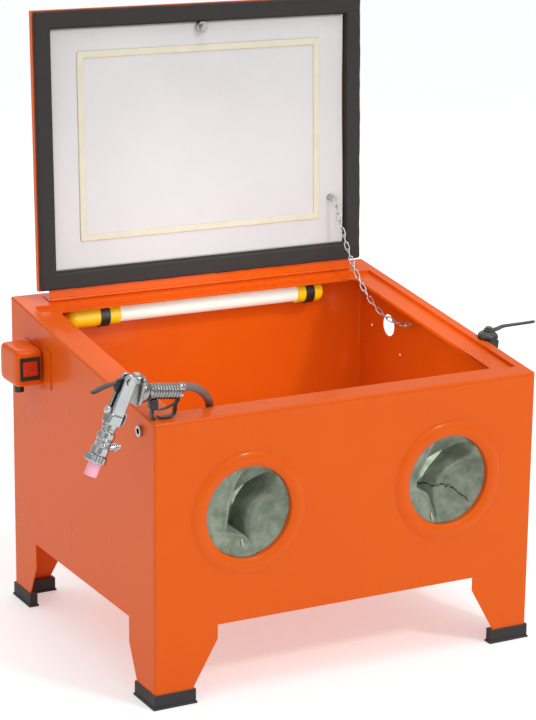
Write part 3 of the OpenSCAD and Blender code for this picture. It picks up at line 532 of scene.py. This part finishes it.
def portRing(side):
    # profile: rolled inner lip, a half-sine bead over the flange, a thin rim, and the collar behind
    t = np.linspace(0, 1, 30)
    r = ports["inner"] + (ports["outer"] - ports["inner"]) * t
    z = -0.5 - (ports["bead"] - 0.6) * np.sin(np.pi * np.clip(t * 1.08, 0, 1)) ** 0.8
    front = np.stack([r, z], -1)
    rear = [(ports["outer"], 0), (ports["inner"] + 2, 0.3), (ports["inner"] + 2, ports["collar"]),
            (ports["inner"], ports["collar"]), (ports["inner"], 2)]
    profile = np.concatenate([front, rear, front[:1]])
    return portPoints(lathe(profile, 120), side)


for side, word in ((-1, "Left"), (1, "Right")):
    addPiece("portRing" + word, [portRing(side)], "orange_paint", "cabinet", ["port_ring_" + word.lower()],
             caps=False, sharp=50)

# gloves pulled into the ports: edges of the folds as (height, across), the cuff as (across, height) and the
# stitches as (across, height), all in shares of the port's radius
gloves = {
    "inner": 63.6, "outer": 68.2, "collar": 23, "length": 117, "tip": 46, "closing": 0.86,
    "rows": 120, "bagRows": 60, "cols": 264, "seed": 11,
    "left": {
        "flap": [(-0.6, -0.46), (-0.37, -0.41), (-0.1, -0.35), (0.26, -0.31), (0.59, -0.23), (0.83, -0.11),
                 (1, 0.04)],
        "slitLeft": [(-0.5, -0.46), (-0.13, -0.31), (0.24, 0.08), (0.59, 0.56), (0.75, 0.8)],
        "slitRight": [(-0.6, 0.03), (-0.5, 0.05), (-0.14, 0.16), (0.01, 0.24), (0.23, 0.5), (0.5, 0.66),
                      (0.7, 0.68)],
        "cuff": [(-1, -0.27), (-0.41, -0.39), (-0.03, -0.51), (0.1, -0.66), (0.2, -1.1), (1, -1.3)],
        "slitDeep": 86, "soft": 0.05, "tag": (-0.1, -0.7),
    },
    "right": {
        "flap": [(-0.4, -0.73), (-0.1, -0.7), (0.04, -0.69), (0.18, -0.62), (0.45, -0.47), (0.72, -0.36),
                 (1, -0.3)],
        "slitLeft": [(-0.5, -0.76), (-0.04, -0.64), (0.25, -0.17), (0.45, 0.26), (0.62, 0.6), (0.8, 0.9)],
        "slitRight": [(-0.6, -0.3), (-0.4, -0.28), (-0.2, -0.2), (0, -0.06), (0.2, 0.22), (0.4, 0.52),
                      (0.6, 0.62)],
        "cuff": [(-1, -0.02), (-0.7, -0.1), (-0.51, -0.21), (-0.34, -0.34), (-0.3, -0.6), (-0.24, -1.1),
                 (1, -1.3)],
        "slitDeep": 62, "soft": 0.14, "tag": (-0.36, -0.8),
        "stitch": [(-0.3, -0.24), (-0.05, -0.22), (0.13, -0.28), (0.3, -0.31), (0.45, -0.4), (0.6, -0.54),
                   (0.68, -0.62)],
    },
}


def softLine(points, at):
    # straight runs between the points with their corners averaged away
    p = np.array(points)
    return sum(np.interp(at + shift, p[:, 0], p[:, 1]) for shift in (-0.09, -0.045, 0, 0.045, 0.09)) / 5


def crossing(value, width):
    t = np.clip(value / (2 * width) + 0.5, 0, 1)
    return t * t * (3 - 2 * t)


def gloveDepth(u, v, fold, seed):
    # depth below the port's face: a bowl, a dark slit in it, a fold left of the slit, a flap over that and a
    # cuff below; each takes over from the last one across a smooth step at its edge
    bowl = np.clip(1 - u * u - v * v, 0, 1)
    flapEdge, slitLeft, slitRight = (softLine(fold[key], v) for key in ("flap", "slitLeft", "slitRight"))
    cuffEdge = softLine(fold["cuff"], u)
    roll = np.exp(-((u - slitRight - 0.17) / 0.17) ** 2) * bowl ** 0.5
    deep = 7 + 34 * bowl - 12 * roll + 10 * crossing(v - 0.3, 0.5) * bowl
    deep = deep + (fold["slitDeep"] - deep) * crossing(slitRight - u, fold["soft"]) * (bowl > 0.02)
    reach = np.clip((u - flapEdge) / np.maximum(slitLeft - flapEdge, 0.05), 0, 1.2)
    middle = 17 + 18 * bowl + 17 * reach * bowl ** 0.4
    deep = deep + (middle - deep) * crossing(slitLeft - u, 0.035)
    flap = 5 + 15 * bowl - 5 * np.exp(-((u - flapEdge + 0.07) / 0.07) ** 2) * bowl ** 0.4
    deep = deep + (flap - deep) * crossing(flapEdge - u, 0.022)
    cuff = 4.5 + 11 * bowl - 4 * np.exp(-((v - cuffEdge + 0.06) / 0.07) ** 2) * bowl ** 0.4
    deep = deep + (cuff - deep) * crossing(cuffEdge - v, 0.022)
    wrinkle = 0.9 * waves(9 * u, 9 * v, seed, 4, 1.3) + 0.35 * waves(34 * u, 34 * v, seed + 1, 3, 1.4)
    return deep + wrinkle * np.clip(6 * bowl, 0, 1)


def gloveSurface(side, word):
    # one skin: from the middle of the folds out to the lip, round the collar's end, and back as the sleeve's
    # bag, which narrows with the power 1.5 of the way and closes as an ellipse
    inner, outer, collar = (gloves[key] for key in ("inner", "outer", "collar"))
    share = np.linspace(0.004, 1, gloves["rows"])[:, None]
    turn = np.arange(gloves["cols"])[None, :] * 2 * np.pi / gloves["cols"]
    u, v = share * np.cos(turn), share * np.sin(turn)
    front = np.stack([inner * u, inner * v, gloveDepth(u, v, gloves[word], gloves["seed"] + side)], -1)
    wall = [(inner, 14), (inner, collar), (inner + 1.6, collar + 1.6), (outer - 1, collar + 1.2),
            (outer, collar - 2), (outer, 7), (outer - 1.4, 6.4), (outer - 1.6, 8), (outer - 0.6, collar + 1)]
    t = np.linspace(0, 1, gloves["bagRows"])[:, None]
    narrow = outer + (gloves["tip"] - outer) * np.clip(t / gloves["closing"], 0, 1) ** 1.5
    closed = np.clip(t - gloves["closing"], 0, 1) / (1 - gloves["closing"])
    close = np.sqrt(np.clip(1 - closed ** 2, 0.0004, 1))
    ripple = 1 + 0.05 * t * (np.sin(5 * turn + 3 * t) + 0.6 * np.sin(9 * turn - 5 * t + side)) * close
    bag = np.minimum(narrow * close * ripple, outer + 0.5)
    z = collar + 2 + (gloves["length"] - collar - 2) * t + 0 * turn
    rear = np.stack([bag * np.cos(turn), bag * np.sin(turn), z], -1)
    rows = np.concatenate([front, lathe(wall, gloves["cols"]), rear])
    return portPoints(rows, side)


def gloveThread(side, word):
    # a pale stub of sewing thread that stands out of the cuff, as a tube along a short curve
    u, v = gloves[word]["tag"]
    base = gloveDepth(np.array([[u]]), np.array([[v]]), gloves[word], gloves["seed"] + side)[0, 0]
    at = np.array([gloves["inner"] * u, gloves["inner"] * v, base - 1])
    steps = [(0.5, 4.5, 0.6), (0, 1.5, -1.2), (0.6, -2, -1.6), (1.6, -4.8, -0.4)]
    tag = smoothPath([at + step for step in steps], 24)
    return portPoints(tube(tag, 1.15 + 0.35 * np.sin(np.arange(24) * 1.9), 10), side)


def gloveStitches(side, word):
    # short dark stitches along the seam, each thick in its middle and a little out of line
    line = smoothPath(gloves[word]["stitch"], 60)[:, :2]
    rng = np.random.default_rng(29)
    pieces = []
    for k in range(0, 56, 3):
        u, v = line[k:k + 4, 0], line[k:k + 4, 1] + rng.uniform(-0.03, 0.03)
        z = gloveDepth(u[None], v[None], gloves[word], gloves["seed"] + side)[0] - 0.2
        path = smoothPath(np.stack([gloves["inner"] * u, gloves["inner"] * v, z], -1), 10)
        thick = 0.5 + 0.8 * np.sin(np.linspace(0.2, 2.9, 10)) * rng.uniform(0.3, 1.3)
        pieces.append(portPoints(tube(path, thick, 8), side))
    return pieces


for side, word in ((-1, "left"), (1, "right")):
    addPiece("glove" + word.title(), [gloveSurface(side, word)], "glove_leather", "cabinet",
             ["glove_" + word], caps=False, sharp=180)
    addPiece("threadTag" + word.title(), [gloveThread(side, word)], "cream_tape", "cabinet", [])
addPiece("gloveSeam", gloveStitches(1, "right"), "black_plastic", "cabinet", [])
print("port rings and gloves")

# lining of the lid's inner face; lean is the open lid's angle, and gap and pin lead from the hinge's axis
# to the origin of onLid's frame
lid = {"lean": 88, "gap": 14, "pin": 7.5, "width": 532, "length": 402, "foam": 25, "foamHigh": 8,
       "tapeWidth": 396, "tapeLength": 275, "tapeMiddle": 204, "floorLevel": -11.5}
lidTurn = turned("x", lid["lean"])
lidOrigin = jointPlace["lid_hinge"] + lidTurn @ np.array([0, lid["gap"], lid["pin"]])


def onLid(points):
    # lid frame: X right, Y up the lid from its hinge edge, Z out of the inner face
    return placed(points, lidTurn, lidOrigin)


def lidFoam():
    # a slightly uneven strip round the lid's edge, and a narrow lap along its inner side down to the film
    path, normal = loopPath(lid["width"] - 2, lid["length"] - 2, 3, 640)
    bar = roundedBar(path, normal, lid["foam"] - 1, lid["foamHigh"] - 0.2, 1.6, 0.25)
    inside = [lid[key] - 2 * lid["foam"] + 0.6 for key in ("width", "length")]
    path, normal = loopPath(*inside, 3, 480)
    lap = roundedBar(path, normal, 1.6, 6, 0.7, 0.1)
    middle = lid["length"] / 2
    return [onLid(bar + (0, middle, -lid["foamHigh"])), onLid(lap + (0, middle, lid["floorLevel"] + 0.2))]


def lidTape():
    # the cream strip round the window
    path, normal = loopPath(lid["tapeWidth"], lid["tapeLength"], 3, 480)
    bar = roundedBar(path, normal, 10, 2.2, 0.9, 0.12)
    return onLid(bar + (0, lid["tapeMiddle"], lid["floorLevel"] + 0.5))


addPiece("lidFoam", lidFoam(), "black_foam", "lid", ["lid_gasket"], wrapAlong=True, sharp=60)
addPiece("windowTape", [lidTape()], "cream_tape", "lid", ["window_border"], wrapAlong=True, sharp=60)

# tear-off film: start is its lower edge on the lid, rise its height over the lid's floor
film = {"width": 478, "length": 348, "start": 27, "rise": 0.8, "thick": 0.4, "curl": 9, "curlHigh": 3.2,
        "tuck": 1.2, "wave": 0.35}


def filmSheet():
    # a flat sheet with long shallow waves, whose right edge curls up with the square of the way
    u, v = np.meshgrid(np.linspace(-0.5, 0.5, 160), np.linspace(0, 1, 110))
    x, y = u * film["width"], v * film["length"] + film["start"]
    high = film["wave"] * waves(8 * u, 8 * v, 7, 3, 1.1)
    lift = np.clip((x - film["width"] / 2 + film["curl"]) / film["curl"], 0, 1) ** 2
    high = high + film["curlHigh"] * lift * (0.7 + 0.3 * np.sin(7 * v))
    return onLid(np.stack([x - film["tuck"] * lift, y, lid["floorLevel"] + film["rise"] + high], -1))


lidFilm = addPiece("lidFilm", [filmSheet()], "white_film", "lid", ["lid_film"], wrapAcross=False, caps=False)
skin = lidFilm.modifiers.new("skin", "SOLIDIFY")
skin.thickness = film["thick"] * mm
skin.offset = 0
print("lid lining")

# stay chain: top is on the lid, with its last number the way in front of it, and low is on the rim
chain = {"links": 22, "pitch": 11.6, "wire": 1.0, "width": 8, "twist": 0.5, "sag": 65, "lowest": 130,
         "start": 1.4, "top": (218, 97, 5), "low": (282, 51.5, 399)}
chainTop = onLid(np.array([chain["top"][0], chain["top"][1], 0.0])) - (0, chain["top"][2], 0)
chainLow = np.array(chain["low"], float)
chainFlat = np.hypot(*(chainLow - chainTop)[:2])


def chainDrop(s):
    # hanging curve c*cosh((s-m)/c), with its lowest place at m
    return chain["sag"] * np.cosh((s - chain["lowest"]) / chain["sag"])


def chainPoint(s):
    # the hanging curve, sheared so that it passes through both ends
    share = s / chainFlat
    shear = chainLow[2] - chainTop[2] - chainDrop(chainFlat) + chainDrop(0)
    high = chainTop[2] + chainDrop(s) - chainDrop(0) + shear * share
    flat = chainTop[:2] + (chainLow[:2] - chainTop[:2]) * share
    return np.array([*flat, high])


def chainLink(number, s):
    # racetrack centre line with a round wire section, twisted a little about its length
    wire = chain["wire"]
    bend = chain["width"] / 2 - wire
    half = (chain["pitch"] + 4 * wire - chain["width"]) / 2
    line, normal = loopPath(2 * (half + bend), 2 * bend, bend * 0.999, 40)
    angle = np.arange(10) * 2 * np.pi / 10
    flat = line[:, None] + wire * normal[:, None] * np.cos(angle)[None, :, None]
    x, y = flat[..., 0], flat[..., 1]
    z = wire * np.sin(angle)[None, :]
    twist = chain["twist"] * x / (half + bend)
    link = np.stack([x, np.cos(twist) * y - np.sin(twist) * z, np.sin(twist) * y + np.cos(twist) * z], -1)
    way = chainPoint(s + 0.5) - chainPoint(s)
    way /= np.linalg.norm(way)
    heading = math.degrees(math.atan2(way[1], way[0]))
    climb = math.degrees(math.asin(way[2]))
    turn = turned("z", heading) @ turned("y", -climb) @ turned("x", 45 + 90 * (number % 2))
    return placed(link, turn, chainPoint(s))


stops = [chain["start"]]
for number in range(chain["links"] - 1):
    stretch = np.linalg.norm(chainPoint(stops[-1] + 1) - chainPoint(stops[-1]))
    stops.append(stops[-1] + chain["pitch"] / stretch)
links = [chainLink(number, s) for number, s in enumerate(stops)]
stayChain = addPiece("stayChain", links, "zinc_steel", None, ["stay_chain"], wrapAlong=True)
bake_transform(stayChain)
print("stay chain")

# switch shell with well rounded corners
low, high = corners("switch_box")
shell = roundedBlock((high - low) / 2, 7, 96) + (low + high) / 2
addPiece("switchShell", [shell], "orange_paint", "cabinet", ["switch_box"], sharp=180)
print("switch shell")

# latch: domed hub on its post, with a lever that rises and then runs level; wide gives (place, half width)
latch = {
    "hub": [(3.1, 0.4), (14.2, 0.4), (15, 1.2), (15, 3), (14.6, 4.6), (13.2, 6.8), (11, 8.6), (8.6, 9.7),
            (7.4, 10.6), (7, 12), (6.8, 13.6), (5.8, 14.5), (3.1, 14.6), (3.1, 0.4)],
    "lever": [(2, 0, 12), (8, 0, 11.6), (16, 0, 13), (25, 0, 15.4), (50, 0, 15.9), (72, 0, 16.3),
              (79, 0, 17)],
    "wide": [(2, 3.4), (8, 4.6), (16, 4.3), (30, 3.7), (60, 3.4), (76, 3.5), (79, 2.2)],
    "flat": 0.55,
}
latchSlope = math.degrees(math.asin(-joints["latch_swing"]["axis"][1]))


def onLatch(points):
    return placed(points, turned("x", latchSlope), jointPlace["latch_swing"])


def latchLever():
    # the hub is a turned profile, the lever a flattened tube of changing width
    way = smoothPath(latch["lever"], 60)
    wide = np.interp(way[:, 0], *np.transpose(latch["wide"]))
    return [onLatch(lathe(latch["hub"], 72)), onLatch(tube(way, wide, 20, (0, 0, 1), latch["flat"]))]


addPiece("latchLever", latchLever(), "black_plastic", "latch", ["latch_lever"])
print("latch")

# blast gun: cast handle, forked and threaded barrel, claw nut, lever and rests; turned profiles are
# (radius, height), and a lever's wide gives (place, half width)
gun = {
    "barrelTilt": 24.5, "handleStart": (29, 0, -17), "handleTilt": 97, "handleLong": 44,
    "handleRadius": 10.7, "ribs": 11, "ribHigh": 1.5, "plateTilt": 14, "tailUp": -5.5,
    "bell": [(4, -0.5), (14.6, -0.5), (15.8, 0.4), (16, 2), (15.9, 5), (15, 7.5), (13.2, 9.6), (11.6, 11.4),
             (10.8, 13.4), (10.4, 16)],
    "tail": [(3, -2), (6, -1.6), (6.3, 0), (6.3, 3.4), (5.9, 4.2), (6.3, 5), (6.2, 6.2), (5.7, 6.8),
             (3, 6.9)],
    "tube": [(9, 56), (10, 58), (10, 64.8), (9, 66), (9, 69.4), (11, 70.6), (11.5, 72), (11.5, 82),
             (10, 83.2), (10, 85.6), (11.2, 86.8), (11.5, 100), (11.3, 101.4), (10.4, 102)],
    "threads": [(78, 82.5), (87, 91.5)], "threadPitch": 1.5, "threadDeep": 0.28,
    "nipple": [(2, -1), (4, 0), (4, 8.5), (3.2, 9), (4, 9.6), (4, 11.6), (5.6, 12), (5.8, 13), (5.8, 15.4),
               (5.3, 16), (4, 16.3), (4, 17.6), (3.2, 18), (1.6, 18)],
    "hook": [(-11, 0, 40), (-14.6, 0, 42), (-15.4, 0, 48), (-15, 0, 54), (-13.6, 0, 58)],
    "strap": [(70, 0, -28), (71, 0, -33), (67.5, 0, -38), (66.5, 0, -46), (65, 0, -51.5), (60, 0, -53.7),
              (51, 0, -53.9), (43, 0, -53.4)],
    "foot": [(36, 0, -36), (34, 0, -43), (33, 0, -49), (34.5, 0, -53.3), (38.5, 0, -53.9)],
    "bridge": [(34, 0, -41), (42, 0, -43.5), (52, 0, -43), (61, 0, -40), (68, 0, -37)],
    "cam": [(-2, 6.2), (-9, 5.2), (-15, 3.6), (-20, -3), (-19, -11), (-15, -14.2), (-9, -12), (-3, -6.6),
            (5, -3.4), (5.6, 2)],
    "lever": [(-17, 0, 0), (-22, 0, -1), (-30, 0, -2.6), (-38, 0, -5), (-46, 0, -8), (-52, 0, -10)],
    "wide": [(-52, 3), (-50, 5.2), (-44, 6), (-30, 6), (-20, 5), (-17, 3)],
    "screwSteps": 48,
}
gunPivot = jointPlace["gun_lift"]


def onHandle(points):
    return placed(points, turned("y", gun["handleTilt"]), gunPivot + np.array(gun["handleStart"]))


def onBarrel(points):
    return placed(points, turned("y", 180 + gun["barrelTilt"]), gunPivot)


def onGun(points, turn=np.eye(3), at=(0, 0, 0)):
    return placed(points, turn, gunPivot + np.array(at))


def handleGrip():
    # turned core with rounded ribs, radius = core + rib height * |sin|^0.6, drawn in at both ends
    long = gun["handleLong"]
    z = np.linspace(0.2, long - 0.2, 320)
    ribs = gun["ribHigh"] * np.abs(np.sin(np.pi * gun["ribs"] * z / long)) ** 0.6
    end = np.clip(np.minimum(z, long - z) / 1.2, 0, 1) ** 0.5
    radius = (gun["handleRadius"] - gun["ribHigh"] + ribs) * (0.85 + 0.15 * end)
    return onHandle(lathe(np.stack([radius, z], -1), 72))


def gunBody():
    # flange plate, bell behind it, lug round the barrel's head, ribbed handle and the tail for the hose
    plate = slab(*loopPath(40, 30, 7, 120), 5, 1.4)
    standing = turned("y", gun["plateTilt"]) @ turned("y", 90)
    lug = roundedBlock((6, 9.8, 6.2), 4, 48)
    return [onGun(plate, standing, (14, 0, -13.5)),
            onGun(lathe(gun["bell"], 72), turned("y", gun["handleTilt"]), (15.5, 0, -15)),
            onGun(lug, at=(12, 0, 0.4)), handleGrip(),
            onHandle(lathe(gun["tail"], 48) + (gun["tailUp"], 0, gun["handleLong"]))]


def barrelTube():
    # turned part of the barrel: neck, two threaded collars whose radius ripples, and the groove between them
    radius, place = np.transpose(gun["tube"])
    z = np.linspace(place[0], place[-1], 240)
    thread = gun["threadDeep"] * (np.cos(2 * np.pi * z / gun["threadPitch"]) - 1)
    screwed = sum((z > start) & (z < stop) for start, stop in gun["threads"])
    return np.stack([np.interp(z, place, radius) + thread * screwed, z], -1)


def gunBarrel():
    # two cheeks with the lever's slot between them, the solid part below, the tube, a side nipple and a hook
    cheek = slab(*loopPath(72, 18.2, 9, 160), 5.6, 1.8)
    stand = turned("x", 90) @ np.array([[0, 1, 0], [1, 0, 0], [0, 0, 1]])
    cheeks = [placed(cheek, stand, (0, side * 6.4, 26)) for side in (-1, 1)]
    solid = roundedBlock((9.9, 10.6, 8.5), 6, 56) + (0, 0, 53)
    nipple = placed(lathe(gun["nipple"], 36), turned("y", -115), (-8, 0, 91))
    hook = tube(smoothPath(gun["hook"], 30), 4.4, 20, (1, 0, 0), 0.42)
    return [onBarrel(part) for part in (*cheeks, solid, lathe(barrelTube(), 96), nipple, hook)]


def clawNut():
    # a ring with a slight twelvefold ripple and three rounded claws that stand out of it, as cos(3*turn)^3
    z = np.concatenate([[0.2, 0.2], np.linspace(0.2, 1.6, 6), np.linspace(2, 9, 16),
                        np.linspace(9.4, 10.8, 6), [10.8]])
    base = np.interp(z, [0.2, 1.6, 9, 10.8], [11.4, 13, 13, 11.6])
    base[[0, -1]] = 8.7
    turn = np.arange(144) * 2 * np.pi / 144
    outside = base[:, None] > 9
    claw = np.clip(np.cos(3 * turn - math.radians(60)), 0, 1) ** 3 * 3.5
    full = outside * claw[None] * np.clip(np.minimum(z, 11 - z) / 1.6, 0, 1)[:, None] ** 0.5
    r = base[:, None] + full + 0.2 * outside * np.cos(12 * turn)[None]
    front = gun["tube"][-1][1]
    return onBarrel(np.stack([r * np.cos(turn), r * np.sin(turn), front + z[:, None] + 0 * r], -1))


def domedScrew(radius, high):
    # turned head with a domed top and a dimple in its middle
    return lathe([(0.4, 0), (radius, 0), (radius, high * 0.45), (radius * 0.96, high * 0.7),
                  (radius * 0.8, high * 0.88), (radius * 0.5, high * 0.98), (radius * 0.2, high * 0.8),
                  (0.05, high * 0.76)], gun["screwSteps"])


def knurledKnob(radius, high):
    # the same head, whose rim swells and shrinks sixteen times round
    knob = domedScrew(radius, high)
    turn = np.arange(gun["screwSteps"]) * 2 * np.pi / gun["screwSteps"]
    rim = np.hypot(knob[..., 0], knob[..., 1]) > radius * 0.9
    return knob * np.stack([1 + 0.045 * np.cos(16 * turn) * rim] * 2 + [1 + 0 * rim], -1)


def gunScrews():
    # a domed screw on each side of the pivot, two knurled knobs, and a hexagon head in the handle's end
    heads = [placed(domedScrew(5.5, 2), turned("x", -90 * side), (0, 11 * side, 0)) for side in (1, -1)]
    frontKnob = placed(knurledKnob(5.5, 6), turned("y", 90), (10, 0, 43))
    hexagon = lathe([(0.5, 0), (4, 0), (4, 5.4), (3.5, 6), (0.5, 6)], 6)
    return [onBarrel(part) for part in (*heads, frontKnob)] + [
        onGun(knurledKnob(5, 3.4), at=(12, 0, 6.4)), onHandle(hexagon + (5.2, 0, gun["handleLong"]))]


def gunRests():
    # a bent strap from the tail down to the rim, a foot under the front of the handle, a bridge between the
    # two, and the block over the foot
    strap = tube(smoothPath(gun["strap"], 60), 5.4, 20, (1, 0, -1), 0.2)
    foot = tube(smoothPath(gun["foot"], 40), 5.4, 20, (1, 0, -1), 0.24)
    bridge = tube(smoothPath(gun["bridge"], 40), 4, 20, (0, 0, 1), 0.25)
    block = roundedBlock((6, 6.4, 6.4), 5, 40)
    return [onGun(strap), onGun(foot), onGun(bridge), onGun(block, at=(35, 0, -35))]


def gunLever():
    # cam between the cheeks, and the finger lever that runs out from it and thins towards its tip
    cam = slab(*outline(gun["cam"], 120), 5, 1)
    way = smoothPath(gun["lever"], 50)
    wide = np.interp(way[:, 0], *np.transpose(gun["wide"]))
    return [onGun(cam, turned("x", 90)), onGun(tube(way, wide, 24, (0, 0, 1), 0.4))]


addPiece("gunBody", gunBody(), "cast_aluminium", "gun", ["gun_body"], sharp=50)
addPiece("gunBarrel", gunBarrel(), "nickel", "gun", ["gun_barrel"], sharp=45)
addPiece("clawNut", [clawNut()], "nickel", "gun", ["nozzle_nut"], sharp=45)
addPiece("gunScrews", gunScrews(), "zinc_steel", "gun", ["gun_screws"], sharp=50)
addPiece("gunRests", gunRests(), "black_plastic", "gun", ["gun_grip"], sharp=60)
addPiece("gunLever", gunLever(), "black_plastic", "trigger", ["gun_trigger"], sharp=50)
print("blast gun")
